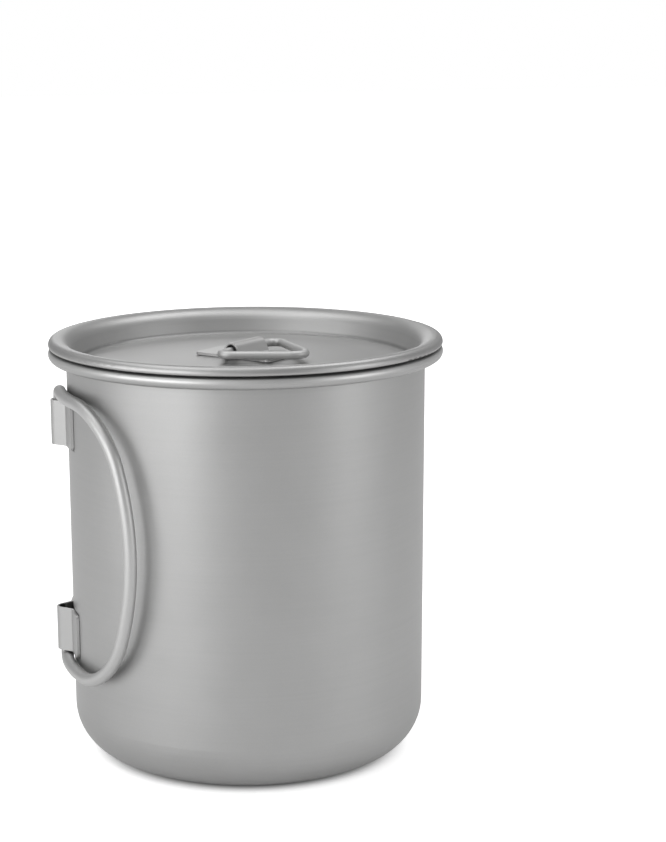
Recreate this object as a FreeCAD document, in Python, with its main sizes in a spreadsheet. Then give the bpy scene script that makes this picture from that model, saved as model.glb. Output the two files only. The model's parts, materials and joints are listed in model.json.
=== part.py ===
import FreeCAD, Part

import math
import os

import Sketcher
from FreeCAD import Placement, Rotation, Vector

# A titanium camping pot with a dished lid. The pot and the lid are drawn from
# sheet and turned round +Z, with the origin at the middle of the base. One wire
# handle folds round the wall in two strap brackets on -X, and a small wire ring
# folds flat in the dish of the lid.

# Driving sizes, in millimetres and degrees.
SIZES = {
    # Pot, outside faces
    "pot_radius": 39.1,        # straight wall
    "pot_height": 90.97,       # top of the rolled rim
    "sheet": 0.5,              # thickness of pot and lid
    "base_bend": 10.7,         # bend from the floor into the wall
    "rim_bend": 1.0,           # bend from the wall out to the rim
    "rim_overhang": 3.87,      # rim beyond the wall
    "rim_bead": 1.37,          # radius of the rolled edge
    "rim_tuck": 60.0,          # how far the rolled edge turns in past its bottom
    # Lid
    "lid_overhang": 3.8,       # lid beyond the pot's wall
    "lid_edge": 1.37,          # bend from the top of the lid down to its edge
    "lid_hem": 0.58,           # radius of the edge where it is turned in
    "lid_crown": 4.0,          # rounding from the top of the lid into the dish
    "dish_slope": 66.0,        # side of the dish, from level
    "dish_bend": 1.2,          # bend from the side of the dish into its floor
    "dish_dome": 700.0,        # radius of the floor, which stands highest in the middle
    "dish_depth": 4.7,         # top of the lid down to the middle of the floor
    "seat_gap": 0.2,           # between the lid's edge and the pot's rim
    # Handle
    "handle_wire": 2.8,        # diameter
    "handle_gap": 0.2,         # folded handle to the wall
    "handle_below_rim": 8.27,  # top of the pot's rim down to the middle of the upper arm
    "handle_length": 62.3,     # top bend to bottom bend, at the middle of the wire
    "handle_reach": 33.7,      # hinge to the far side of the loop, round the wall
    "handle_back": 55.0,       # wide curve of the far side
    "handle_corner": 17.5,     # curves at the top and bottom of the far side
    "handle_knee": 2.8,        # tight bend beside each bracket
    "handle_short": 1.5,       # how far the wire's ends stop inside the brackets
    "handle_clear": 0.1,       # bracket to the start of the knee
    # Straps that hold the wires
    "strap": 0.55,             # thickness of the handle's brackets
    "strap_length": 9.8,       # along the hinge
    "strap_width": 18.2,       # across the hinge
    "strap_foot": 3.7,         # hinge to the bend at the foot of the channel
    "foot_bend": 0.4,          # bend at the foot, outside face
    "strap_corner": 1.0,       # rounded corners of the feet
    "weld_gap": 0.05,          # spot-welded foot to the sheet under it
    "hinge_play": 0.1,         # handle's wire to the fold round it
    # Lid ring and its bracket
    "ring_wire": 1.8,          # diameter
    "ring_width": 21.9,        # along the hinge, over the wire
    "ring_reach": 16.2,        # hinge to the outside of the tip
    "ring_corner": 2.0,        # bends beside the bracket
    "ring_tip": 3.0,           # bend at the tip
    "ring_joint": 0.4,         # between the wire's ends, inside the bracket
    "ring_turn": 48.0,         # hinge of the ring, from +X towards +Y
    "ring_rest": 0.1,          # folded ring to the foot under it
    "ring_play": 0.35,         # ring's wire to the fold round it
    "ring_strap": 0.6,         # thickness of the ring's bracket
    "ring_strap_length": 10.4,
    "ring_strap_width": 20.0,
    "ring_strap_foot": 2.9,
}

doc = FreeCAD.newDocument("CookPot")
sheet = doc.addObject("Spreadsheet::Sheet", "Sizes")
for row, (alias, value) in enumerate(SIZES.items(), start=1):
    sheet.set(f"A{row}", alias)
    sheet.set(f"B{row}", str(value))
    sheet.setAlias(f"B{row}", alias)
doc.recompute()


def size(alias):
    """The number that the sheet holds under an alias."""
    return float(sheet.get(alias))


def polar(radius, degrees):
    """A point on a circle round the origin, as x and y."""
    turn = math.radians(degrees)
    return radius * math.cos(turn), radius * math.sin(turn)


# Places that more than one piece is built from, as formulas on the sheet.
BEAD_X = "(Sizes.pot_radius + Sizes.rim_overhang - Sizes.rim_bead)"
BEAD_Z = "(Sizes.pot_height - Sizes.rim_bead)"
LID_RADIUS = "(Sizes.pot_radius + Sizes.lid_overhang)"
HEM_X = f"({LID_RADIUS} - Sizes.lid_hem)"
HEM_REST = "(Sizes.rim_bead + Sizes.lid_hem + Sizes.seat_gap)"
HEM_Z = f"({BEAD_Z} + sqrt({HEM_REST} ^ 2 - ({HEM_X} - {BEAD_X}) ^ 2))"
DISH_Z = f"({HEM_Z} + Sizes.lid_edge - Sizes.dish_depth)"
HINGE_X = "(Sizes.pot_radius + Sizes.handle_gap + Sizes.handle_wire / 2)"
HANDLE_MIDDLE = "(Sizes.pot_height - Sizes.handle_below_rim - Sizes.handle_length / 2)"
HANDLE_STRAIGHT = "(Sizes.handle_length / 2 - Sizes.handle_knee - Sizes.handle_clear)"
RING_RISE = "(Sizes.weld_gap + Sizes.ring_strap + Sizes.ring_rest + Sizes.ring_wire / 2)"

# The same places as numbers, for the first drawing of each outline.
bead_x = size("pot_radius") + size("rim_overhang") - size("rim_bead")
bead_z = size("pot_height") - size("rim_bead")
lid_radius = size("pot_radius") + size("lid_overhang")
hem_x = lid_radius - size("lid_hem")
hem_rest = size("rim_bead") + size("lid_hem") + size("seat_gap")
hem_z = bead_z + math.sqrt(hem_rest ** 2 - (hem_x - bead_x) ** 2)
dish_z = hem_z + size("lid_edge") - size("dish_depth")
hinge_x = size("pot_radius") + size("handle_gap") + size("handle_wire") / 2
handle_middle = size("pot_height") - size("handle_below_rim") - size("handle_length") / 2
ring_rise = size("weld_gap") + size("ring_strap") + size("ring_rest") + size("ring_wire") / 2


class Outline:
    """A sketch of lines and arcs that run smoothly into each other."""

    START, END, CENTRE = range(1, 4)
    ORIGIN = (-1, 1)

    def __init__(self, sketch):
        self.sketch = sketch

    def line(self, start, end):
        return self.sketch.addGeometry(Part.LineSegment(Vector(*start), Vector(*end)))

    def arc(self, centre, radius, first, last):
        """An arc that runs anticlockwise between two angles in degrees."""
        circle = Part.Circle(Vector(*centre), Vector(0, 0, 1), radius)
        return self.sketch.addGeometry(
            Part.ArcOfCircle(circle, math.radians(first), math.radians(last)))

    def rule(self, kind, *where):
        self.sketch.addConstraint(Sketcher.Constraint(kind, *where))

    def size(self, formula, kind, *where):
        """A dimension that follows the sheet."""
        if kind == "Radius":
            drawn = self.sketch.Geometry[where[0]].Radius
        elif kind == "Angle":
            line = self.sketch.Geometry[where[0]]
            drawn = (line.EndPoint - line.StartPoint).getAngle(Vector(1, 0, 0))
        else:
            first = self.sketch.getPoint(*where[:2])
            second = self.sketch.getPoint(*where[2:])
            drawn = second.x - first.x if kind == "DistanceX" else second.y - first.y
        index = self.sketch.addConstraint(Sketcher.Constraint(kind, *where, drawn))
        self.sketch.setExpression(f"Constraints[{index}]", formula)

    def place(self, x_formula, y_formula, piece, point):
        """Puts a point of a line or an arc at x and y."""
        self.size(x_formula, "DistanceX", *self.ORIGIN, piece, point)
        self.size(y_formula, "DistanceY", *self.ORIGIN, piece, point)


def sketch_at(name, placement):
    sketch = doc.addObject("Sketcher::SketchObject", name)
    sketch.Placement = placement
    return Outline(sketch)


def thicken(name, outline, formula):
    """The section of a bent sheet: one face of it, drawn, and its thickness."""
    section = doc.addObject("Part::Offset2D", name)
    section.Source = outline.sketch
    section.Mode = "Skin"
    section.Join = "Arc"
    section.Fill = True
    section.setExpression("Value", formula)
    doc.recompute()
    return section


def turned(label, section):
    """A section turned all the way round +Z."""
    part = doc.addObject("Part::Revolution", label)
    part.Source = section
    part.Axis = (0, 0, 1)
    part.Angle = 360
    part.Solid = True
    return part


UPRIGHT = Placement(Vector(), Rotation(Vector(1, 0, 0), 90))  # sketch y becomes +Z
ON_END = Rotation(Vector(0, 1, 0), -90)  # x becomes +Z and z becomes -X
WRAP_STEP = 45.0  # degrees of a flat bend that one pair of arcs follows


def pot_body():
    """Floor, wall and rim, drawn along the outside face."""
    wall, bend, flare = size("pot_radius"), size("base_bend"), size("rim_bend")
    shelf = size("pot_height") - size("sheet")
    curl = size("rim_bead") - size("sheet")
    tuck = -90 - size("rim_tuck")
    face = sketch_at("pot_face", UPRIGHT)
    floor = face.line((0, 0), (wall - bend, 0))
    base = face.arc((wall - bend, bend), bend, -90, 0)
    side = face.line((wall, bend), (wall, shelf - flare))
    neck = face.arc((wall + flare, shelf - flare), flare, 90, 180)
    rim = face.line((wall + flare, shelf), (bead_x, shelf))
    bead = face.arc((bead_x, bead_z), curl, tuck, 90)
    face.rule("Coincident", floor, face.START, *face.ORIGIN)
    face.rule("Horizontal", floor)
    face.rule("Vertical", side)
    face.rule("Horizontal", rim)
    face.rule("Tangent", floor, face.END, base, face.START)
    face.rule("Tangent", base, face.END, side, face.START)
    face.rule("Tangent", side, face.END, neck, face.END)
    face.rule("Tangent", neck, face.START, rim, face.START)
    face.rule("Tangent", rim, face.END, bead, face.END)
    face.size("Sizes.base_bend", "Radius", base)
    face.size("Sizes.rim_bend", "Radius", neck)
    face.size("Sizes.rim_bead - Sizes.sheet", "Radius", bead)
    face.size("Sizes.pot_radius", "DistanceX", *face.ORIGIN, side, face.START)
    face.place(BEAD_X, BEAD_Z, bead, face.CENTRE)
    face.size("(Sizes.rim_bead - Sizes.sheet) * sin(Sizes.rim_tuck * 1 deg)",
              "DistanceX", bead, face.START, bead, face.CENTRE)
    return turned("pot_body", thicken("pot_section", face, "Sizes.sheet"))


def lid():
    """Floor of the dish, its side, the crown and the turned-in edge, drawn on top."""
    edge, hem, slope = size("lid_edge"), size("lid_hem"), size("dish_slope")
    crown, bend, dome = size("lid_crown"), size("dish_bend"), size("dish_dome")
    crown_x, crown_z = lid_radius - edge, hem_z + edge - crown
    sx, sy = polar(crown, 90 + slope)
    bx, by = polar(bend, slope - 90)
    fall = crown_z + sy - dish_z - bend - by
    bend_x = crown_x + sx - fall / math.tan(math.radians(slope)) - bx
    lean = math.degrees(math.asin(bend_x / (dome + bend)))
    face = sketch_at("lid_face", UPRIGHT)
    floor = face.arc((0, dish_z - dome), dome, 90 - lean, 90)
    base = face.arc((bend_x, dish_z + bend), bend, -90 - lean, slope - 90)
    side = face.line((bend_x + bx, dish_z + bend + by), (crown_x + sx, crown_z + sy))
    shoulder = face.arc((crown_x, crown_z), crown, 90, 90 + slope)
    lip = face.arc((crown_x, hem_z), edge, 0, 90)
    turned_in = face.arc((hem_x, hem_z), hem, -180, 0)
    face.rule("Vertical", floor, face.CENTRE, floor, face.END)
    face.rule("Tangent", floor, face.START, base, face.START)
    face.rule("Tangent", base, face.END, side, face.START)
    face.rule("Tangent", side, face.END, shoulder, face.END)
    face.rule("Tangent", shoulder, face.START, lip, face.END)
    face.rule("Tangent", lip, face.START, turned_in, face.END)
    face.rule("Vertical", shoulder, face.CENTRE, lip, face.CENTRE)
    face.rule("Horizontal", lip, face.CENTRE, turned_in, face.CENTRE)
    face.rule("Horizontal", turned_in, face.START, turned_in, face.CENTRE)
    face.size("Sizes.dish_dome", "Radius", floor)
    face.size("Sizes.dish_bend", "Radius", base)
    face.size("Sizes.dish_slope * 1 deg", "Angle", side)
    face.size("Sizes.lid_crown", "Radius", shoulder)
    face.size("Sizes.lid_edge", "Radius", lip)
    face.size("Sizes.lid_hem", "Radius", turned_in)
    face.place("0", DISH_Z, floor, face.END)
    face.place(f"{LID_RADIUS} - Sizes.lid_edge", HEM_Z, lip, face.CENTRE)
    return turned("lid", thicken("lid_section", face, "Sizes.sheet"))


def strap_face(name, sheet_alias, wire_alias, play_alias, foot_alias, width_alias, hinge,
               hinge_formula, carrier=None):
    """
    The inside face of a strap across its hinge, with +x away from the sheet that
    carries it: foot, bend, wall, fold round the wire, and the same again below.
    The feet lie on a cylinder whose radius is the alias carrier, or on a flat sheet.
    """
    fold = size(wire_alias) / 2 + size(play_alias)
    bend = size("foot_bend") + size(sheet_alias)
    foot_y = size(foot_alias)
    end_y = size(width_alias) / 2 + size(sheet_alias)
    ground = size("weld_gap") + (size(carrier) if carrier else 0)
    foot_x = math.sqrt((ground + bend) ** 2 - foot_y ** 2) if carrier else ground + bend
    slope = math.degrees(math.atan2(foot_y, foot_x)) if carrier else 0
    apart = math.hypot(hinge - foot_x, foot_y)
    wall_turn = (math.degrees(math.atan2(-foot_y, hinge - foot_x))
                 - math.degrees(math.acos((bend + fold) / apart)))
    face = sketch_at(name, Placement())
    round_wire = face.arc((hinge, 0), fold, -180 - wall_turn, 180 + wall_turn)
    face.size(f"Sizes.{wire_alias} / 2 + Sizes.{play_alias}", "Radius", round_wire)
    face.place(hinge_formula, "0", round_wire, face.CENTRE)
    ground_formula = f"Sizes.{carrier} + Sizes.weld_gap" if carrier else "Sizes.weld_gap"
    for upward in (1, -1):
        near, far = (face.START, face.END) if upward > 0 else (face.END, face.START)
        first, last = sorted((upward * (slope - 180), upward * wall_turn))
        knee = face.arc((foot_x, upward * foot_y), bend, first, last)
        wx, wy = polar(bend, upward * wall_turn)
        fx, fy = polar(fold, upward * (180 + wall_turn))
        wall = face.line((foot_x + wx, upward * foot_y + wy), (hinge + fx, fy))
        if carrier:
            end_turn = math.degrees(math.asin(end_y / ground))
            first, last = sorted((upward * slope, upward * end_turn))
            foot = face.arc((0, 0), ground, first, last)
            face.rule("Tangent", foot, near, knee, near)
            face.rule("Coincident", foot, face.CENTRE, *face.ORIGIN)
            face.size(ground_formula, "Radius", foot)
            foot_end = far
        else:
            foot = face.line((ground, upward * foot_y), (ground, upward * end_y))
            face.rule("Tangent", foot, face.START, knee, near)
            face.rule("Vertical", foot)
            face.size(ground_formula, "DistanceX", *face.ORIGIN, foot, face.START)
            foot_end = face.END
        face.rule("Tangent", knee, far, wall, face.START)
        face.rule("Tangent", wall, face.END, round_wire, far)
        face.size(f"Sizes.foot_bend + Sizes.{sheet_alias}", "Radius", knee)
        sign = "" if upward > 0 else "-"
        face.size(f"{sign}Sizes.{foot_alias}", "DistanceY", *face.ORIGIN, knee, face.CENTRE)
        face.size(f"{sign}(Sizes.{width_alias} / 2 + Sizes.{sheet_alias})",
                  "DistanceY", *face.ORIGIN, foot, foot_end)
    return face


def strap_bracket(label, face, sheet_alias, length_alias, width_alias, top_formula):
    """A strap bent to its face, and cut from a blank with rounded corners."""
    bent = doc.addObject("Part::Extrusion", f"{label}_bent")
    bent.Base = thicken(f"{label}_section", face, f"Sizes.{sheet_alias}")
    bent.DirMode = "Custom"
    bent.Dir = (0, 0, 1)
    bent.Solid = True
    bent.Symmetric = True
    bent.setExpression("LengthFwd", f"Sizes.{length_alias} + 2 * Sizes.{sheet_alias}")
    core = doc.addObject("Part::Plane", f"{label}_core")
    core.Placement.Rotation = ON_END
    core.setExpression("Length", f"Sizes.{length_alias} - 2 * Sizes.strap_corner")
    core.setExpression("Width", f"Sizes.{width_alias} - 2 * Sizes.strap_corner")
    core.setExpression("Placement.Base.y", f"Sizes.strap_corner - Sizes.{width_alias} / 2")
    core.setExpression("Placement.Base.z", f"Sizes.strap_corner - Sizes.{length_alias} / 2")
    outline = doc.addObject("Part::Offset2D", f"{label}_outline")
    outline.Source = core
    outline.Join = "Arc"
    outline.setExpression("Value", "Sizes.strap_corner")
    blank = doc.addObject("Part::Extrusion", f"{label}_blank")
    blank.Base = outline
    blank.DirMode = "Custom"
    blank.Dir = (1, 0, 0)
    blank.Solid = True
    blank.setExpression("LengthFwd", top_formula)
    bracket = doc.addObject("Part::Common", label)
    bracket.Base = bent
    bracket.Tool = blank
    return bracket


def handle_bracket(label, side):
    """One of the two brackets that hold the handle, above or below its middle."""
    face = strap_face(f"{label}_face", "strap", "handle_wire", "hinge_play", "strap_foot",
                      "strap_width", hinge_x, HINGE_X, carrier="pot_radius")
    bracket = strap_bracket(label, face, "strap", "strap_length", "strap_width",
                            f"{HINGE_X} + Sizes.handle_wire + Sizes.strap")
    bracket.Placement.Rotation = Rotation(Vector(0, 0, 1), 180)
    bracket.setExpression("Placement.Base.z",
                          f"{HANDLE_MIDDLE} {side} ({HANDLE_STRAIGHT} - Sizes.strap_length / 2)")
    return bracket


def ring_bracket():
    """The strap in the middle of the dish that holds the ring."""
    face = strap_face("ring_bracket_face", "ring_strap", "ring_wire", "ring_play",
                      "ring_strap_foot", "ring_strap_width", ring_rise, RING_RISE)
    bracket = strap_bracket("lid_ring_bracket", face, "ring_strap", "ring_strap_length",
                            "ring_strap_width", f"{RING_RISE} + Sizes.ring_wire + Sizes.ring_strap")
    bracket.setExpression("Placement", f"placement(vector(0; 0; {DISH_Z}); "
                                       "rotation(Sizes.ring_turn * 1 deg; -90 deg; 0 deg))")
    return bracket


def bent_wire(label, path, edges, wire_alias):
    """Round wire along a path, with its section object ready to be placed at the start."""
    section = doc.addObject("Part::Circle", f"{label}_section")
    section.setExpression("Radius", f"Sizes.{wire_alias} / 2")
    wire = doc.addObject("Part::Sweep", label)
    wire.Sections = [section]
    wire.Spine = (path, [f"Edge{number}" for number in range(1, edges + 1)])
    wire.Solid = True
    return wire, section


def tangent_arc(start, corner, end):
    """The arc from start to end whose tangents there meet at the corner."""
    middle = (start + end) / 2
    lean = math.atan2((corner - middle).Length, (end - middle).Length)
    through = middle + (corner - middle) * (math.tan(lean / 2) / math.tan(lean))
    return Part.Arc(start, through, end).toShape()


def pair_of_arcs(start, leaving, end, arriving):
    """Two arcs that meet smoothly, with a unit direction given at each outer end."""
    chord, both = end - start, leaving + arriving
    spread = 2 * (1 - leaving.dot(arriving))
    root = math.sqrt(chord.dot(both) ** 2 + spread * chord.dot(chord))
    reach = chord.dot(chord) / (chord.dot(both) + root)
    joint = (start + end + (leaving - arriving) * reach) / 2
    return [tangent_arc(start, start + leaving * reach, joint),
            tangent_arc(joint, end - arriving * reach, end)]


def wrapped_arc(middle, radius, first, last, around):
    """
    An arc of a flat outline laid round the pot, as (way round, height). A wire that
    is bent twice like this lies in no plane, so short pairs of plain arcs follow it.
    """
    steps = math.ceil(abs(last - first) / WRAP_STEP)
    heading = math.copysign(1, last - first)
    points, directions = [], []
    for step in range(steps + 1):
        turn = math.radians(first + (last - first) * step / steps)
        way = (middle[0] + radius * math.cos(turn)) / around
        height = middle[1] + radius * math.sin(turn)
        points.append(Vector(-around * math.cos(way), -around * math.sin(way), height))
        along, rise = -heading * math.sin(turn), heading * math.cos(turn)
        directions.append(Vector(along * math.sin(way), -along * math.cos(way), rise))
    arcs = []
    for step in range(steps):
        arcs += pair_of_arcs(points[step], directions[step], points[step + 1], directions[step + 1])
    return arcs


def folding_handle():
    """
    The middle of the wire is a flat loop wrapped round the pot: an end in each
    bracket, a knee, an arm, a corner, the wide far side, and the same again below.
    No sketch lies on a cylinder, so this one line is worked out from the sheet.
    """
    knee, corner = size("handle_knee"), size("handle_corner")
    back, middle = size("handle_back"), handle_middle
    reach, half = size("handle_reach"), size("handle_length") / 2
    back_way = reach - back
    lean = math.asin((half - corner) / (back - corner))
    corner_way = back_way + (back - corner) * math.cos(lean)
    lean = math.degrees(lean)
    straight = half - knee
    end = straight - size("handle_clear") - size("strap_length") + size("handle_short")

    def at(way, height):
        turn = way / hinge_x
        return Vector(-hinge_x * math.cos(turn), -hinge_x * math.sin(turn), height)

    def arm(height, first, last):
        return Part.Arc(at(first, height), at((first + last) / 2, height), at(last, height)).toShape()

    edges = [
        Part.makeLine(at(0, middle + end), at(0, middle + straight)),
        *wrapped_arc((knee, middle + straight), knee, 180, 90, hinge_x),
        arm(middle + half, knee, corner_way),
        *wrapped_arc((corner_way, middle + half - corner), corner, 90, lean, hinge_x),
        *wrapped_arc((back_way, middle), back, lean, -lean, hinge_x),
        *wrapped_arc((corner_way, middle - half + corner), corner, -lean, -90, hinge_x),
        arm(middle - half, corner_way, knee),
        *wrapped_arc((knee, middle - straight), knee, -90, -180, hinge_x),
        Part.makeLine(at(0, middle - straight), at(0, middle - end)),
    ]
    path = doc.addObject("Part::Feature", "handle_line")
    path.Shape = Part.Wire(edges)
    handle, section = bent_wire("folding_handle", path, len(edges), "handle_wire")
    section.setExpression("Placement.Base.x", f"-{HINGE_X}")
    section.setExpression("Placement.Base.z", f"{HANDLE_MIDDLE} + {HANDLE_STRAIGHT} - "
                                              "Sizes.strap_length + Sizes.handle_short")
    return handle


def lid_ring():
    """The ring folded flat, drawn along the middle of its wire: hinge along y, tip in +x."""
    wire, corner, tip = size("ring_wire"), size("ring_corner"), size("ring_tip")
    side = size("ring_width") / 2 - wire / 2 - corner
    tip_x = size("ring_reach") - wire / 2 - tip
    apart = math.hypot(tip_x - corner, side)
    turn = math.degrees(math.atan2(side, tip_x - corner)
                        + math.acos((corner - tip) / apart)) - 2 * math.degrees(
                            math.atan2(side, tip_x - corner))
    cx, cy = polar(corner, turn)
    tx, ty = polar(tip, turn)
    line = sketch_at("ring_line", Placement())
    ends = []
    round_tip = line.arc((tip_x, 0), tip, -turn, turn)
    line.size("Sizes.ring_tip", "Radius", round_tip)
    line.place("Sizes.ring_reach - Sizes.ring_wire / 2 - Sizes.ring_tip", "0",
               round_tip, line.CENTRE)
    for upward in (1, -1):
        near, far = (line.START, line.END) if upward > 0 else (line.END, line.START)
        sign = "" if upward > 0 else "-"
        first, last = sorted((upward * turn, upward * 180))
        bend = line.arc((corner, upward * side), corner, first, last)
        leg = line.line((tip_x + tx, upward * ty), (corner + cx, upward * (side + cy)))
        hinge = line.line((0, upward * side), (0, upward * size("ring_joint") / 2))
        line.rule("Tangent", round_tip, far, leg, line.START)
        line.rule("Tangent", leg, line.END, bend, near)
        line.rule("Tangent", bend, far, hinge, line.START)
        line.rule("Vertical", hinge)
        line.size("Sizes.ring_corner", "Radius", bend)
        line.size(f"{sign}(Sizes.ring_width / 2 - Sizes.ring_wire / 2 - Sizes.ring_corner)",
                  "DistanceY", *line.ORIGIN, bend, line.CENTRE)
        line.place("0", f"{sign}Sizes.ring_joint / 2", hinge, line.END)
        ends.append(hinge)
    ring, section = bent_wire("lid_ring", line.sketch, 7, "ring_wire")
    section.Placement.Rotation = Rotation(Vector(1, 0, 0), 90)
    section.setExpression("Placement.Base.y", "Sizes.ring_joint / 2")
    ring.setExpression("Placement", f"placement(vector(0; 0; {DISH_Z} + {RING_RISE}); "
                                    "rotation((Sizes.ring_turn - 90) * 1 deg; 0 deg; 0 deg))")
    return ring


parts = [
    pot_body(),
    handle_bracket("upper_handle_bracket", "+"),
    handle_bracket("lower_handle_bracket", "-"),
    folding_handle(),
    lid(),
    ring_bracket(),
    lid_ring(),
]
doc.recompute()

for item in doc.Objects:
    if "Invalid" in item.State or "Error" in item.State:
        raise RuntimeError(f"{item.Label} did not build")
for item in parts:
    if item.Shape.isNull() or not item.Shape.isValid() or len(item.Shape.Solids) != 1:
        raise RuntimeError(f"{item.Label} is not one valid solid")

os.makedirs("parts", exist_ok=True)
for item in parts:
    item.Shape.exportStep(f"parts/{item.Label}.step")
    print(item.Label, round(item.Shape.Volume, 1), "mm3")
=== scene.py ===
# %% [markdown]
# # A titanium camping pot, dressed
#
# The shapes come packed from the workshop: a pot, its lid, one wire handle in two
# strap brackets and a wire ring on the lid. They are already the right size and in
# the right place, so this file gives them their metal, bends the handle's wire a
# little wider, and adds a floor, the light and a camera. Everything is in metres,
# with +Z up and the origin under the middle of the pot.

import json
import math
from collections import namedtuple

import bpy
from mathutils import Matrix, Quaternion, Vector


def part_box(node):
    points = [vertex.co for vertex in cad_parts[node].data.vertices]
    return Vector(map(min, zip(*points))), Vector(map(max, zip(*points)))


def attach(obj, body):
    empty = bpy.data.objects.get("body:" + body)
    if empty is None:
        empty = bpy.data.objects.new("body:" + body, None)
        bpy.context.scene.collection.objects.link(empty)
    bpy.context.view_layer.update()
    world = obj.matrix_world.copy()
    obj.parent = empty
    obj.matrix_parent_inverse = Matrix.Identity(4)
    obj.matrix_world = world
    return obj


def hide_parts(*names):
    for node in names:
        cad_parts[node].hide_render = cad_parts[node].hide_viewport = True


MM = 0.001

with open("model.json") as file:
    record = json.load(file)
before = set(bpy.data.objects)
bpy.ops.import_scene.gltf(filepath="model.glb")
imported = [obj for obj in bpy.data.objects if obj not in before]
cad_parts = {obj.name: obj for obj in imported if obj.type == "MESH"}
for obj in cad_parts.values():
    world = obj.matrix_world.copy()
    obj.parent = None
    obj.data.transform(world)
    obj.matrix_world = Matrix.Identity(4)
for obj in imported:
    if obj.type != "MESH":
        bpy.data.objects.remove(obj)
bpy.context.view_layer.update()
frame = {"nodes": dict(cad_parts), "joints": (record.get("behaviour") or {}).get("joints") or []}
rim_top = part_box("pot_body")[1].z
dish_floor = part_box("lid")[0].z
print("nodes:", ", ".join(sorted(frame["nodes"])))
print("pot stands", round(rim_top / MM, 1), "mm high without its lid")

# %% [markdown]
# ## Shader maths that reads like maths
#
# A material is a graph, and a graph written node by node is hard to read. Wires
# could be drawn by hand in the shader editor, or each node could be made and linked
# in four lines of code. Wrapping one socket in a small class lets `1 - grain * 0.2`
# stand for the Math nodes that compute it, and one method makes any other node.


# %% One socket that arithmetic works on
class Value:
    """A socket in a material's tree. Arithmetic on it adds Math nodes."""

    def __init__(self, socket):
        self.socket = socket

    def node(self, kind, inputs, output=0, **settings):
        """Adds any node: its settings first, then its sockets, by name or number."""
        made = self.socket.id_data.nodes.new(kind)
        for name, setting in settings.items():
            setattr(made, name, setting)
        for key, value in inputs.items():
            if isinstance(value, Value):
                self.socket.id_data.links.new(value.socket, made.inputs[key])
            else:
                made.inputs[key].default_value = value
        return Value(made.outputs[output])

    def math(self, operation, *values):
        """Adds a Math node."""
        return self.node("ShaderNodeMath", dict(enumerate(values)), operation=operation)

    def vector(self, operation, *values):
        """Adds a Vector Math node, and takes the output that its operation fills."""
        output = "Value" if operation in ("LENGTH", "DISTANCE") else "Vector"
        return self.node("ShaderNodeVectorMath", dict(enumerate(values)), output, operation=operation)

    def __add__(self, other):
        return self.math("ADD", self, other)

    def __sub__(self, other):
        return self.math("SUBTRACT", self, other)

    def __rsub__(self, other):
        return self.math("SUBTRACT", other, self)

    def __mul__(self, other):
        return self.math("MULTIPLY", self, other)

    __radd__ = __add__
    __rmul__ = __mul__

    def into(self, socket):
        """Links this value to a socket of the shader."""
        self.socket.id_data.links.new(self.socket, socket)

    def grey_into(self, socket):
        """Links this number to a colour socket, as a grey."""
        self.node("ShaderNodeCombineColor", {"Red": self, "Green": self, "Blue": self}).into(socket)


print("shader maths ready")

# %% [markdown]
# ## Painted shade and highlights that keep their place
#
# The grey of the metal is darkened where shade falls: in the seam under the lid's edge,
# in the crease at the foot of the dish, along the bottom edge of the pot, in the folds
# of the straps and along the line where a strap meets the wall. This is painted shade.
# The bead and the edge of the dish are made a little brighter, as painted highlights.
# Such marks could be painted on an image, but they would slip when a size changes.
# Here each mark is a distance instead, from a circle, a strap or a hinge, which the
# shader works out for every place on the metal.


# %% How far a place is from a mark
LEVEL = (1.0, 1.0, 0.0)


def from_circle(radius, height):
    """From a level circle round the middle of the pot."""

    def gap(place):
        flat = place.vector("MULTIPLY", place, LEVEL)
        rise = place.node("ShaderNodeSeparateXYZ", {"Vector": place}, output="Z")
        profile = place.node("ShaderNodeCombineXYZ", {"X": flat.vector("LENGTH", flat), "Y": rise})
        return profile.vector("DISTANCE", profile, (radius, height, 0.0))

    return gap


def from_strap(low, high, wall):
    """From the box round a strap, outside the wall. Places inside the wall count as far away."""

    def gap(place):
        beyond = place.vector("ABSOLUTE", place.vector("SUBTRACT", place, tuple((low + high) / 2)))
        outside = place.vector("SUBTRACT", beyond, tuple((high - low) / 2))
        apart = place.vector("LENGTH", place.vector("MAXIMUM", outside, (0.0, 0.0, 0.0)))
        flat = place.vector("MULTIPLY", place, LEVEL)
        return apart + place.math("LESS_THAN", place.vector("LENGTH", flat), wall)

    return gap


def from_line(point, direction):
    """From an endless straight line, such as the middle of a hinge."""

    def gap(place):
        offset = place.vector("SUBTRACT", place, tuple(point))
        return place.vector("LENGTH", place.vector("CROSS_PRODUCT", offset, tuple(direction)))

    return gap


print("marks are measured from circles, straps and lines")

# %% [markdown]
# ## Blasted titanium
#
# The sheet is spun to shape and then blasted with fine glass beads, which turns it
# an even, dull grey. Seen close it isn't even: the blast leaves a grain finer than
# sand, a faint cloudiness where the nozzle lingered, and the spun rings barely show
# through. An image of metal could be wrapped on, but it would need unwrapping and
# wouldn't survive a change of size. Noise in three dimensions needs neither.

# %% A recipe for blasted metal
GRAIN_SCALE, CLOUD_SCALE, SPUN_SCALE = 5200.0, 95.0, 28.0
SPUN_SQUEEZE = 60.0
SPECKLE_PER_GRAIN = 0.006
BLUE_SHARE = 0.995
DULL_BY_CLOUD, DULL_BY_GRAIN = 0.10, 0.06
BUMP_STRENGTH = 0.35
MICROMETRE = 1e-6

Mark = namedtuple("Mark", "measure start end depth")


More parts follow.
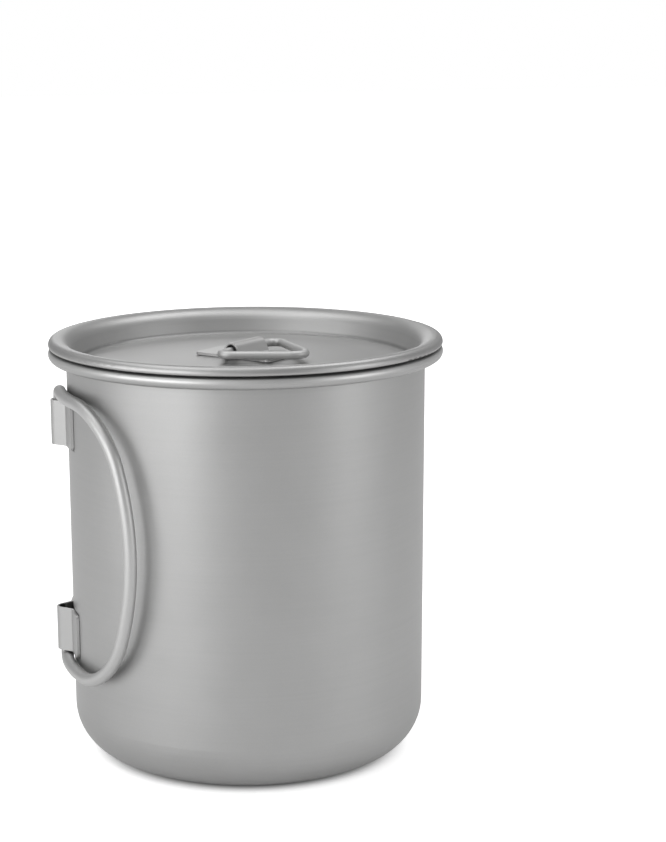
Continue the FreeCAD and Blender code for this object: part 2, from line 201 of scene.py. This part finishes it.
def blasted_metal(name, grey, roughness, grain, cloud, rings, marks=()):
    """
    Dull metal. grain is how deep the blast bites, in micrometres, cloud is how much
    its grey drifts, and rings is how strongly the marks of spinning show through.
    Each Mark says how to measure from it, where it starts to fade, where it has
    faded, and the share of the grey that it takes away, or adds if it is negative.
    """
    material = bpy.data.materials.new(name)
    material.use_nodes = True
    tree = material.node_tree
    shader = tree.nodes["Principled BSDF"]
    shader.inputs["Metallic"].default_value = 1.0
    place = Value(tree.nodes.new("ShaderNodeTexCoord").outputs["Object"])

    def noise(where, scale, detail):
        """Noise about zero, half a step each way."""
        inputs = {"Vector": where, "Scale": scale, "Detail": detail}
        return place.node("ShaderNodeTexNoise", inputs) - 0.5

    fine = noise(place, GRAIN_SCALE, 2.0)
    drift = noise(place, CLOUD_SCALE, 3.0)
    squeezed = place.node("ShaderNodeMapping", {"Vector": place, "Scale": (1.0, 1.0, SPUN_SQUEEZE)})
    spun = noise(squeezed, SPUN_SCALE, 2.0)

    tone = grey * (1 + cloud * drift) * (1 + rings * spun) + grain * SPECKLE_PER_GRAIN * fine
    # Each mark paints shade into the grey, or a highlight where its depth is negative.
    for mark in marks:
        fade = {"Value": mark.measure(place), "From Min": mark.start, "From Max": mark.end,
                "To Min": 1 - mark.depth}
        tone = tone * place.node("ShaderNodeMapRange", fade, interpolation_type="SMOOTHSTEP")
    tint = {"Red": tone, "Green": tone, "Blue": tone * BLUE_SHARE}
    place.node("ShaderNodeCombineColor", tint).into(shader.inputs["Base Color"])
    (roughness + DULL_BY_CLOUD * drift + DULL_BY_GRAIN * fine).into(shader.inputs["Roughness"])
    bite = {"Height": fine, "Strength": BUMP_STRENGTH, "Distance": grain * MICROMETRE}
    place.node("ShaderNodeBump", bite).into(shader.inputs["Normal"])
    print(name, "has", len(tree.nodes), "nodes")
    return material


# %% [markdown]
# ## One metal, five finishes
#
# Everything is the same titanium, so one material could do for all of it. But the pot
# and the lid carry different painted shade and highlights, the straps are cut from flat
# sheet that was never spun, and the wires are drawn, a shade lighter and coarser. One
# recipe with a few numbers for each keeps them alike where they should be.

# %% Where the painted shade and highlights are
WALL = 38.8 * MM

hinges = {joint["name"]: joint for joint in frame["joints"]}
from_handle_hinge = from_line(hinges["handle_swing"]["pos_m"], hinges["handle_swing"]["axis"])
from_ring_hinge = from_line(hinges["ring_fold"]["pos_m"], hinges["ring_fold"]["axis"])

# Painted shade in the seam between the lid's edge and the pot's bead, on both pieces.
seam = Mark(from_circle(42.6 * MM, rim_top - 0.12 * MM), start=0.0, end=0.55 * MM, depth=0.9)
# Painted highlight along the upper side of the bead.
bead = Mark(from_circle(42.9 * MM, rim_top - 0.9 * MM), start=0.0, end=0.8 * MM, depth=-0.38)
# Painted shade in the crease where the wall of the dish meets its floor.
crease = Mark(from_circle(36.45 * MM, dish_floor + 0.83 * MM), start=0.0, end=0.8 * MM, depth=0.45)
# Painted light: the floor of the dish is made a little brighter towards its edge.
dish_edge = Mark(from_circle(33.0 * MM, dish_floor + 0.5 * MM), start=0.0, end=7.0 * MM, depth=-0.12)
# Painted shade along the bottom edge of the pot, next to the floor.
foot = Mark(from_circle(30.2 * MM, -0.2 * MM), start=0.0, end=1.3 * MM, depth=0.9)
# Painted contact shadow on the wall all round each handle strap.
strap_shadows = [Mark(from_strap(*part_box(bracket), WALL), start=0.0, end=0.45 * MM, depth=0.75)
         for bracket in ("upper_handle_bracket", "lower_handle_bracket")]
# Painted shade inside the fold of each handle strap, close round the hinge.
handle_fold = Mark(from_handle_hinge, start=1.55 * MM, end=1.95 * MM, depth=0.85)
# Painted shade inside the arch on the lid, close round the ring's hinge.
ring_fold = Mark(from_ring_hinge, start=1.3 * MM, end=1.65 * MM, depth=0.9)

pot_marks = [seam, bead, foot, *strap_shadows]
lid_marks = [seam, crease, dish_edge]
print(len(pot_marks), "marks on the pot,", len(lid_marks), "on the lid and one in each fold")

# %% Sheet, strap and wire
sheet = {"grey": 0.46, "roughness": 0.46, "grain": 9.0, "cloud": 0.10, "rings": 0.05}
strap = {"roughness": 0.46, "grain": 7.0, "cloud": 0.10, "rings": 0.0}
wire = {"grey": 0.58, "roughness": 0.52, "grain": 14.0, "cloud": 0.12, "rings": 0.0}
blasted_pot = blasted_metal("blasted titanium pot", **sheet, marks=pot_marks)
blasted_lid = blasted_metal("blasted titanium lid", **sheet, marks=lid_marks)
handle_strap = blasted_metal("blasted titanium strap", grey=0.49, **strap, marks=[handle_fold])
ring_strap = blasted_metal("blasted titanium arch", grey=0.54, **strap, marks=[ring_fold])
blasted_wire = blasted_metal("blasted titanium wire", **wire)

finishes = {
    "pot_body": blasted_pot,
    "lid": blasted_lid,
    "upper_handle_bracket": handle_strap,
    "lower_handle_bracket": handle_strap,
    "lid_ring_bracket": ring_strap,
    "lid_ring": blasted_wire,
}
for node, finish in finishes.items():
    metal = frame["nodes"][node]
    metal.data.materials.clear()
    metal.data.materials.append(finish)
print(len(finishes), "pieces finished")

# %% [markdown]
# ## The handle stands off the wall
#
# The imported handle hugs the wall. A real one stands off it by two or three
# millimetres, so that a finger gets behind it, and its shadow lies apart from the
# wire. So its loop is bent a little wider than the pot. It is first drawn flat, as
# the way round the pot and the height, and then rolled round a wider upright
# cylinder. Bending a modelled tube with a modifier would squeeze the wire; rolling
# only its middle line and thickening that keeps it round.


# %% Arcs of the flat loop
def flat_arc(way, height, radius, first, last, step):
    """Points of an arc, as the way round the pot and the height, between two angles in degrees."""
    count = round(abs(last - first) / step)
    turns = [math.radians(first + (last - first) * index / count) for index in range(count + 1)]
    return [(way + radius * math.cos(turn), height + radius * math.sin(turn)) for turn in turns]


# The hinge stands at y = 0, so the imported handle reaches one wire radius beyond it.
handle_low, handle_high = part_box("folding_handle")
wire_radius = handle_high.y
hinge_out = -handle_low.x - wire_radius
print("wire", round(wire_radius * 2 / MM, 2), "mm thick, hinge", round(hinge_out / MM, 2), "mm out")

# %% The loop, drawn flat
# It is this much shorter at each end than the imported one, and lies this much higher.
SHORTER, RAISED = 1.0 * MM, 0.1 * MM

# The radii of its bends next to the hinge, at the two corners and down the far side,
# and how far round the pot it reaches.
KNEE, CORNER, BACK = 2.1 * MM, 17.2 * MM, 55.0 * MM
REACH = 36.6 * MM
WIRE_END = 19.95 * MM
LONGEST_STEP = 1.2 * MM

half_length = (handle_high.z - handle_low.z) / 2 - wire_radius - SHORTER
middle_height = (handle_high.z + handle_low.z) / 2 + RAISED
back_way = REACH - BACK
lean = math.asin((half_length - CORNER) / (BACK - CORNER))
corner_way = back_way + (BACK - CORNER) * math.cos(lean)
lean = math.degrees(lean)

upper_half = [(0.0, WIRE_END)]
upper_half += flat_arc(KNEE, half_length - KNEE, KNEE, 180, 90, step=9.0)
upper_half += flat_arc(corner_way, half_length - CORNER, CORNER, 90, lean, step=4.0)
upper_half += flat_arc(back_way, 0.0, BACK, lean, 0, step=2.0)
outline = upper_half + [(way, -height) for way, height in reversed(upper_half[:-1])]

loop = [outline[0]]
for last, point in zip(outline, outline[1:]):
    steps = max(1, round(math.dist(last, point) / LONGEST_STEP))
    for index in range(1, steps + 1):
        loop.append(tuple(a + (b - a) * index / steps for a, b in zip(last, point)))
print("flat loop of", len(loop), "points,", round(2 * half_length / MM, 1), "mm from arm to arm")

# %% The loop, rolled round the pot
ROLLED = 48.5 * MM

line = bpy.data.curves.new("handle wire", "CURVE")
line.dimensions = "3D"
line.bevel_depth = wire_radius
line.bevel_resolution = 8
line.use_fill_caps = True
spline = line.splines.new("POLY")
spline.points.add(len(loop) - 1)
for point, (way, height) in zip(spline.points, loop):
    turn = way / ROLLED
    across = ROLLED - hinge_out - ROLLED * math.cos(turn)
    point.co = (across, -ROLLED * math.sin(turn), middle_height + height, 1.0)
spline.use_smooth = True
line.materials.append(blasted_wire)
handle = bpy.data.objects.new("handle_wire", line)
bpy.context.scene.collection.objects.link(handle)
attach(handle, "handle")
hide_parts("folding_handle")
print("handle rolled to", ROLLED / MM, "mm round the pot")

# %% [markdown]
# ## The floor
#
# The pot stands on a white sweep that melts into the background and still takes a
# shadow. White paint under lamps never quite reaches white, and stronger lamps would
# burn out the metal. So the floor is matte paint that also glows, but only for rays
# that come straight from the camera or by a reflection. The glow fades out under the
# pot, and the paint is darker there, which leaves a tight shadow round its foot.

# %% The sweep
FLOOR_SIZE = 6.0

floor_mesh = bpy.data.meshes.new("studio floor")
half = FLOOR_SIZE / 2
corners = [(-half, -half, 0), (half, -half, 0), (half, half, 0), (-half, half, 0)]
floor_mesh.from_pydata(corners, [], [(0, 1, 2, 3)])
floor = bpy.data.objects.new("studio floor", floor_mesh)
bpy.context.scene.collection.objects.link(floor)
print("floor", FLOOR_SIZE, "m wide")

# %% Matte paint, measured from the middle of the pot
paint = bpy.data.materials.new("white studio paint")
paint.use_nodes = True
paint_shader = paint.node_tree.nodes["Principled BSDF"]
paint_shader.inputs["Roughness"].default_value = 0.9
paint_shader.inputs["Specular IOR Level"].default_value = 0.1
paint_shader.inputs["Emission Strength"].default_value = 1.0
floor_mesh.materials.append(paint)
here = Value(paint.node_tree.nodes.new("ShaderNodeNewGeometry").outputs["Position"])
away = here.vector("LENGTH", here)


def rises(start, end, low, high, **settings):
    """A number that rises from low to high between two distances from the middle of the pot."""
    inputs = {"Value": away, "From Min": start, "From Max": end, "To Min": low, "To Max": high}
    return away.node("ShaderNodeMapRange", inputs, **settings)


print("the paint knows how far it is from the pot")

# %% White paint, with a painted shadow under the pot
WHITE_PAINT, SHADED_PAINT = 0.8, 0.03
SHADED_WITHIN, WHITE_BEYOND = 29.0 * MM, 34.0 * MM
GLOW_FROM, GLOW_FULL = 29.2 * MM, 36.2 * MM
FAR_GLOW_FROM, FAR_GLOW_FULL = 0.1, 0.6
GLOW, FAR_GLOW = 0.7, 0.3
MIRRORED_SHARE = 0.236

# Painted shadow: under the pot the paint is darker and its glow fades out.
white = rises(SHADED_WITHIN, WHITE_BEYOND, SHADED_PAINT, WHITE_PAINT)
white.grey_into(paint_shader.inputs["Base Color"])
ray = paint.node_tree.nodes.new("ShaderNodeLightPath")
seen, mirrored = Value(ray.outputs["Is Camera Ray"]), Value(ray.outputs["Is Glossy Ray"])
clear = rises(GLOW_FROM, GLOW_FULL, 0.0, GLOW, interpolation_type="SMOOTHSTEP")
faint = rises(FAR_GLOW_FROM, FAR_GLOW_FULL, 0.0, FAR_GLOW)
glow = seen * (clear + faint) + mirrored * clear * MIRRORED_SHARE
glow.grey_into(paint_shader.inputs["Emission Color"])
print("the paint glows from", round(GLOW_FROM / MM, 1), "mm outwards and is white from", WHITE_BEYOND / MM)

# %% [markdown]
# ## The light
#
# Dull metal shows the room as broad soft bands, so the bands are drawn with the
# lamps. Two tall softboxes on the left make the bright band down the wall, one on
# the right lifts the far side, and the front stays a shade darker between them. One
# from behind and four from above light the crown and the dish of the lid. A single
# large lamp would be simpler, but it would flatten the round wall. All of them stand
# equally far off, so that their strengths can be compared.


# %% Softboxes
LAMP_DISTANCE = 1.0
LAMP_AIM = Vector((0, 0, 50 * MM))
TALL, SQUARE = (0.3, 0.45), (0.45, 0.45)


def softbox(name, azimuth, elevation, size, watts):
    """A rectangular lamp that faces the pot, placed by its direction in degrees."""
    lamp = bpy.data.lights.new(name, "AREA")
    lamp.shape = "RECTANGLE"
    lamp.size, lamp.size_y = size
    lamp.energy = watts
    turn, rise = math.radians(azimuth), math.radians(elevation)
    way = Vector((math.sin(turn) * math.cos(rise), -math.cos(turn) * math.cos(rise), math.sin(rise)))
    holder = bpy.data.objects.new(name, lamp)
    holder.location = LAMP_AIM + way * LAMP_DISTANCE
    holder.rotation_euler = (-way).to_track_quat("-Z", "Y").to_euler()
    bpy.context.scene.collection.objects.link(holder)
    print(f"{name}: {watts} W, {azimuth} degrees round, {elevation} up")


softbox("front left softbox", -45, 12, TALL, 2.12)
softbox("left softbox", -75, 12, TALL, 1.60)
softbox("right softbox", 60, 12, TALL, 1.38)
softbox("back softbox", 180, 14, TALL, 0.53)
softbox("upper left softbox", -60, 62, SQUARE, 1.04)
softbox("upper back left softbox", -120, 62, SQUARE, 1.10)
softbox("upper back right softbox", 120, 62, SQUARE, 1.75)
softbox("overhead softbox", 0, 88, SQUARE, 0.90)

# %% [markdown]
# ## The room
#
# Around the lamps there is a pale room, which fills the shadows. The camera has to see
# it as white, but white walls all round would drown the bands on the metal. Hanging
# real walls would hide the lamps, so the world's colour does it: full white for rays
# that come straight from the camera, and a softer grey for all others.

# %% A pale room
ROOM_TO_METAL = 0.384

room = bpy.data.worlds.new("pale room")
room.use_nodes = True
room_tree = room.node_tree
room_light = room_tree.nodes["Background"]
room_ray = room_tree.nodes.new("ShaderNodeLightPath")
straight = Value(room_ray.outputs["Is Camera Ray"])
(straight * (1 - ROOM_TO_METAL) + ROOM_TO_METAL).grey_into(room_light.inputs["Color"])
bpy.context.scene.world = room
print("the room is white to the camera and softer to the metal")

# %% [markdown]
# ## The camera
#
# A lens of about 92 mm, half a metre away and looking down a little, keeps the wall
# nearly straight and still shows the dish of the lid. A wide lens close by would bulge
# the pot. The pot stands low and left in the frame. Turning the camera away to get
# that would tip its uprights, so the lens is shifted instead.

# %% The camera
LENS, SENSOR = 92.33, 36.0
SHIFT_X, SHIFT_Y = 0.10178, 0.14477
CAMERA_PLACE = Vector((-44.7 * MM, -464.6 * MM, 166.5 * MM))
CAMERA_AIM = Vector((0, 0, 46 * MM))
ROLL = math.radians(-0.55)

camera_data = bpy.data.cameras.new("camera")
camera_data.lens = LENS
camera_data.sensor_width = SENSOR
camera_data.shift_x = SHIFT_X
camera_data.shift_y = SHIFT_Y
camera = bpy.data.objects.new("camera", camera_data)
camera.location = CAMERA_PLACE
sight = CAMERA_AIM - CAMERA_PLACE
level = sight.to_track_quat("-Z", "Y")
camera.rotation_mode = "QUATERNION"
camera.rotation_quaternion = level @ Quaternion((0, 0, 1), ROLL)
bpy.context.scene.collection.objects.link(camera)
bpy.context.scene.camera = camera
bpy.context.scene.view_settings.view_transform = "Standard"
print("camera", round(sight.length, 3), "m from the middle of the pot")
